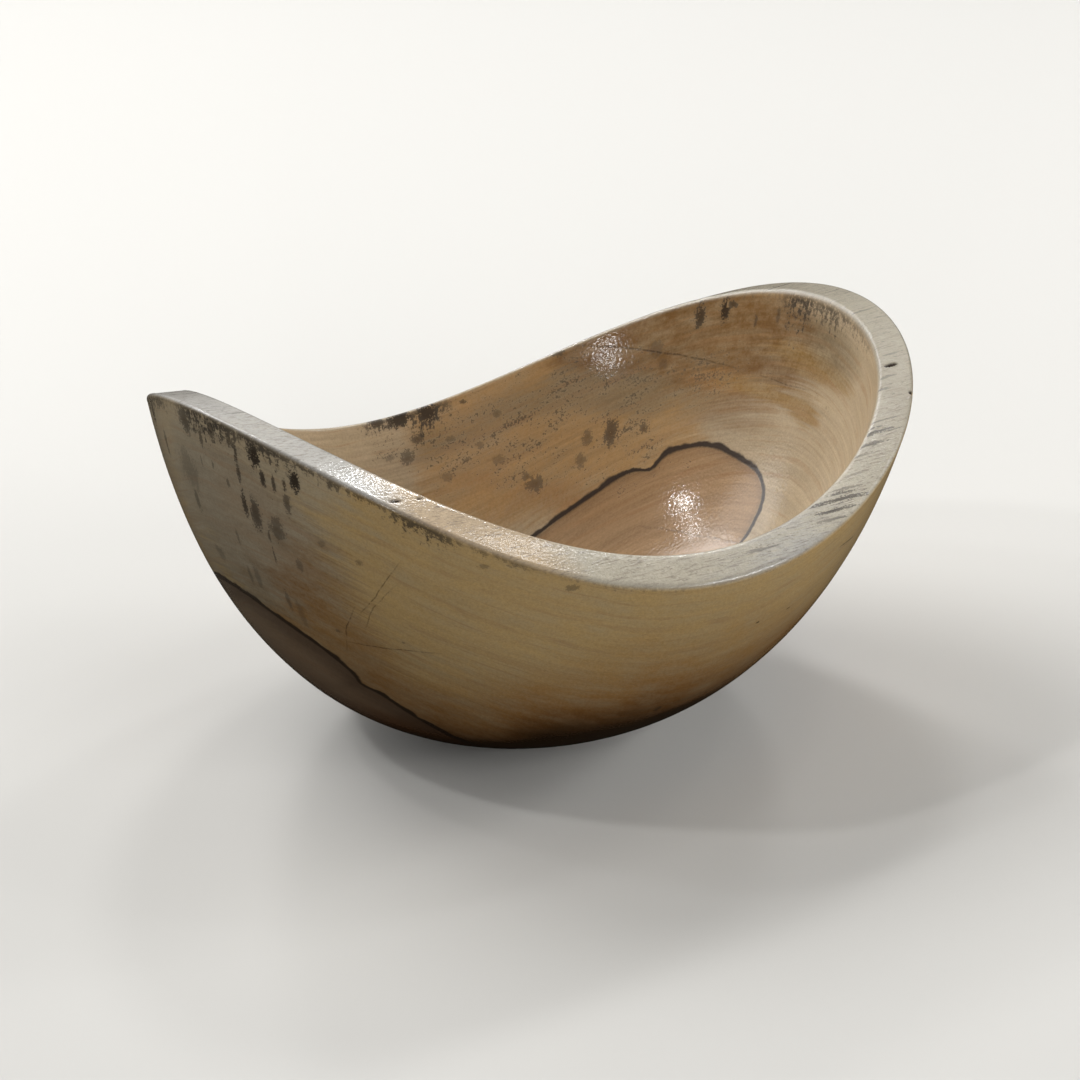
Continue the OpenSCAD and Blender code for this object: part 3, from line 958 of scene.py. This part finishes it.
    # small specks, close together where the wood is most decayed
    speckRoom = put("MULTIPLY_ADD", kept["specks"], *look.speckRoom)
    stains = []
    for stain, tear, name in ((hang, look.fringeTear, "fringe"), (speckRoom, look.speckTear, "specks")):
        for noiseName, weight in tear.items():
            side = put("SUBTRACT", noises[noiseName], 0.5)
            stain = put("MULTIPLY_ADD", side, weight, stain)
        stains.append(put(smooth, stain, *ranges[name]))
    fringeShare = put("MULTIPLY", stains[0], kept["fringeDark"])
    fringeShare = put("MULTIPLY", fringeShare, wallShare)
    speckShare = put("MULTIPLY", stains[1], wallShare)
    poreShare = put("MapRange", noises["pore"], *ranges["pores"])
    poreShare = put("MULTIPLY", poreShare, rimShare)
    speckShare = put("MAXIMUM", speckShare, poreShare)
    stainShare = put("MAXIMUM", spotShare, put("MAXIMUM", fringeShare, speckShare))
    stainTint = {0: spotHeart, 6: tints["stain"], 7: tints["stainHeart"]}
    stainTint = put("Mix RGBA", stainTint, out=2)
    stainMost = put("MULTIPLY", stainShare, look.stainStrength)
    stained = put("Mix RGBA", {0: stainMost, 6: grained, 7: stainTint}, out=2)

    # the dark line round the core, and the halo on its inner side
    haloShare = put(smooth, coreEdge, *ranges["halo"])
    wideHalo = put(smooth, coreEdge, *ranges["wideHalo"])
    haloShare = put("Mix", {0: hollowShare, 2: wideHalo, 3: haloShare})
    haloShare = put("MULTIPLY", haloShare, coreShare)
    start, end, *swells = ranges["lineSwells"]
    swells = [swell * look.zoneLineWidth / 2 for swell in swells]
    lineHalf = put("MapRange", noises["edge"], start, end, *swells)
    lineThins = put("MapRange", acrossY, *ranges["lineThins"])
    lineWidens = put("Mix", {0: hollowShare, 2: look.zoneLineOutside, 3: lineThins})
    lineHalf = put("MULTIPLY", lineHalf, lineWidens)
    zoneShare = put("DIVIDE", put("ABSOLUTE", coreEdge), lineHalf)
    zoneShare = put(smooth, zoneShare, *ranges["zoneLine"])

    # hairlines, some of them dotted, and pits
    hairSide = put("MULTIPLY_ADD", noises["edge"], *look.hairWander)
    hairSide = put("ADD", hairSide, kept["hairSide"])
    hairShare = put("MapRange", put("ABSOLUTE", hairSide), *ranges["hairline"])
    hairFade = put("MULTIPLY", kept["hairFade"], kept["hairDark"])
    hairDots = put("MapRange", torn, *ranges["hairDots"])
    hairShare = put("MULTIPLY", hairShare, put("MULTIPLY", hairFade, hairDots))
    pitShare = put("MapRange", kept["pit"], *ranges["pit"])
    for share, name in (
        (haloShare, "zoneLine"),
        (zoneShare, "zoneLine"),
        # painted shade: the underside darkens towards the foot's colour
        (lowShares["undersideShade"], "footToneAndShade"),
        (hairShare, "stainHeart"),
        (pitShare, "pit"),
    ):
        stained = put("Mix RGBA", {0: share, 6: stained, 7: tints[name]}, out=2)

    # satin skin: fine relief from fibres and pores breaks up the highlights
    grittiness = look.roughnessOf["grit"]
    rough = put("MULTIPLY_ADD", noises["grit"], grittiness, look.roughness - grittiness / 2)
    rough = put("MULTIPLY_ADD", stainShare, look.roughnessOf["stain"], rough)
    relief = put("MULTIPLY", noises["dots"], look.reliefOf["dots"])
    relief = put("MULTIPLY_ADD", noises["fibre"], look.reliefOf["fibre"], relief)
    rimRelief = put("ADD", noises["tornRim"], noises["pore"])
    rimRelief = put("MULTIPLY", rimRelief, put("MapRange", alongX, *ranges["rimRelief"]))
    relief = put("MULTIPLY_ADD", rimRelief, rimShare, relief)
    relief = put("MULTIPLY_ADD", hairShare, look.reliefOf["hairline"], relief)
    bump = put("Bump", {"Strength": 1.0, "Distance": look.relief, "Height": relief}, out="Normal")
    skin = put("BsdfPrincipled", {
        "Base Color": stained,
        "Roughness": rough,
        "IOR": look.refraction,
        "Specular IOR Level": look.woodShine,
        "Normal": bump,
        "Coat Weight": look.oilShine,
        "Coat Roughness": look.oilRoughness,
        "Coat Normal": bump,
    })
    put("OutputMaterial", {"Surface": skin})
    return material


bowl.data.materials.append(oiledTurnedWood())
print("wood made")

# Camera: a long lens from the front left, a little above, as the bowl was seen
view = {
    "turn": 37.226,  # degrees round from straight ahead
    "rise": 26.162,
    "distance": 2106.8,
    "aimHeight": 70.0,
    "aimSide": 0.023,
    "aimUp": -0.109,
    "roll": 0.607,
    "lens": 190.3,
    "sensor": 36.0,
}


def placeCamera():
    turn, rise = math.radians(view["turn"]), math.radians(view["rise"])
    ahead = Vector((math.sin(turn) * math.cos(rise), math.cos(turn) * math.cos(rise), -math.sin(rise)))
    eye = Vector((0, 0, view["aimHeight"] * mm)) - ahead * view["distance"] * mm
    side = ahead.cross(Vector((0, 0, 1))).normalized()
    aimSide, aimUp = (math.tan(math.radians(view[name])) for name in ("aimSide", "aimUp"))
    ahead = (ahead + (side * aimSide + side.cross(ahead) * aimUp)).normalized()
    side = ahead.cross(Vector((0, 0, 1))).normalized()
    up = side.cross(ahead)
    roll = math.radians(view["roll"])
    across = side * math.cos(roll) + up * math.sin(roll)
    upward = up * math.cos(roll) - side * math.sin(roll)
    data = bpy.data.cameras.new("photo_camera")
    data.lens = view["lens"]
    data.sensor_width = view["sensor"]
    camera = newObject("photo_camera", data)
    camera.matrix_world = Matrix.Translation(eye) @ Matrix((across, upward, -ahead)).transposed().to_4x4()
    bpy.context.scene.camera = camera


placeCamera()

# Floor and lamps. Each lamp: power in watts, size in metres, and the direction it shines from
studio = {
    "floorSize": 24.0,
    "floorFades": (0.85, 1.8),  # metres from the bowl between which it runs into the backdrop
    "backdrop": "#f4f3f0",
    "floor": "#cfcdc8",
    "floorShine": "#302c26",  # what the oil reflects of it
    "floorBounce": "#3a3732",  # what it throws back on the bowl
    "world": "#e8ecf2",
    "worldStrength": 0.06,
    "worldShine": 0.28,  # what the oil reflects of it
    "lampDistance": 1.7,
    "lampAim": 0.07,  # metres above the floor
    "lamps": {
        "back_high": (15.0, 1.0, (-0.2, 0.6, 0.75)),
        "back_left": (8.0, 1.1, (-0.5, 0.7, 0.5)),
        "right_low": (13.5, 0.9, (0.9, -0.3, 0.25)),
        "front": (7.0, 0.9, (0.1, -0.9, 0.45)),
        "front_left_low": (5.0, 0.8, (-0.63, -0.75, 0.2)),
        "glint_front_left": (2.0, 0.08, (-0.66, -0.73, 0.18)),
        "glint_upper_left": (4.4, 0.1, (-0.66, 0.18, 0.73)),
        "glint_high_left": (1.8, 0.1, (-0.52, 0.38, 0.77)),
        "glint_back_right": (3.6, 0.2, (0.71, 0.34, 0.63)),
        "glint_right": (1.1, 0.14, (0.66, -0.12, 0.74)),
        "glint_above": (5.0, 0.25, (0.34, 0.5, 0.8)),
        "glint_overhead": (1.0, 0.16, (0.35, -0.05, 0.93)),
        "glint_back": (5.0, 0.2, (0.2, 0.79, 0.57)),
        "glint_front_right": (3.0, 0.16, (0.61, -0.77, 0.18)),
        "glint_far_right": (3.4, 0.3, (0.88, -0.28, 0.38)),
    },
    "glintTint": "#f7f8fa",
    "unreflected": ("right_low", "front", "front_left_low"),  # broad, and leaves no patch on the oil
}


# Matt uncoated paper. To the eye: an even, pale ground without shine.
def mattPaper():
    material = bpy.data.materials.new("matt_pale_paper")
    put = nodesOf(material)
    shine = put("LightPath", out="Is Glossy Ray")
    seen = put("LightPath", out="Is Camera Ray")
    tint = colour(studio["floorBounce"])
    for share, name in ((shine, "floorShine"), (seen, "floor")):
        tint = put("Mix RGBA", {0: share, 6: tint, 7: colour(studio[name])}, out=2)
    matt = put("BsdfDiffuse", {"Color": tint})
    # far from the bowl, where no lamp reaches, the floor runs into the backdrop
    fromBowl = put("VectorMath LENGTH", put("TexCoord", out="Object"), out="Value")
    farShare = put(smooth, fromBowl, *studio["floorFades"], 0.0, 1.0)
    farShare = put("MULTIPLY", farShare, seen)
    backdrop = put("Emission", colour(studio["backdrop"]), 1.0)
    sheet = put("MixShader", farShare, matt, backdrop)
    put("OutputMaterial", {"Surface": sheet})
    return material


def makeStudio():
    half = studio["floorSize"] / 2
    plane = bpy.data.meshes.new("floor")
    corners = [(-half, -half, 0), (half, -half, 0), (half, half, 0), (-half, half, 0)]
    plane.from_pydata(corners, [], [(0, 1, 2, 3)])
    plane.materials.append(mattPaper())
    floor = newObject("floor", plane)
    for name, (power, size, toward) in studio["lamps"].items():
        data = bpy.data.lights.new(name, "AREA")
        data.shape = "DISK"
        data.size = size
        data.energy = power
        if name.startswith("glint"):
            data.color = colour(studio["glintTint"])[:3]
        lamp = newObject(name, data)
        lamp.visible_glossy = name not in studio["unreflected"]
        direction = Vector(toward).normalized()
        lamp.location = Vector((0, 0, studio["lampAim"])) + direction * studio["lampDistance"]
        lamp.rotation_mode = "QUATERNION"
        lamp.rotation_quaternion = direction.to_track_quat("Z", "Y")
    world = bpy.data.worlds.new("studio")
    put = nodesOf(world)
    shine = put("LightPath", out="Is Glossy Ray")
    strength = put("Mix", {0: shine, 2: studio["worldStrength"], 3: studio["worldShine"]})
    light = put("Background", {"Color": colour(studio["world"]), "Strength": strength})
    backdrop = put("Background", {"Color": colour(studio["backdrop"]), "Strength": 1.0})
    sky = put("MixShader", put("LightPath", out="Is Camera Ray"), light, backdrop)
    put("OutputWorld", {"Surface": sky})
    bpy.context.scene.world = world


makeStudio()
bpy.context.scene.view_settings.view_transform = "Standard"
print("camera, floor and lamps placed")
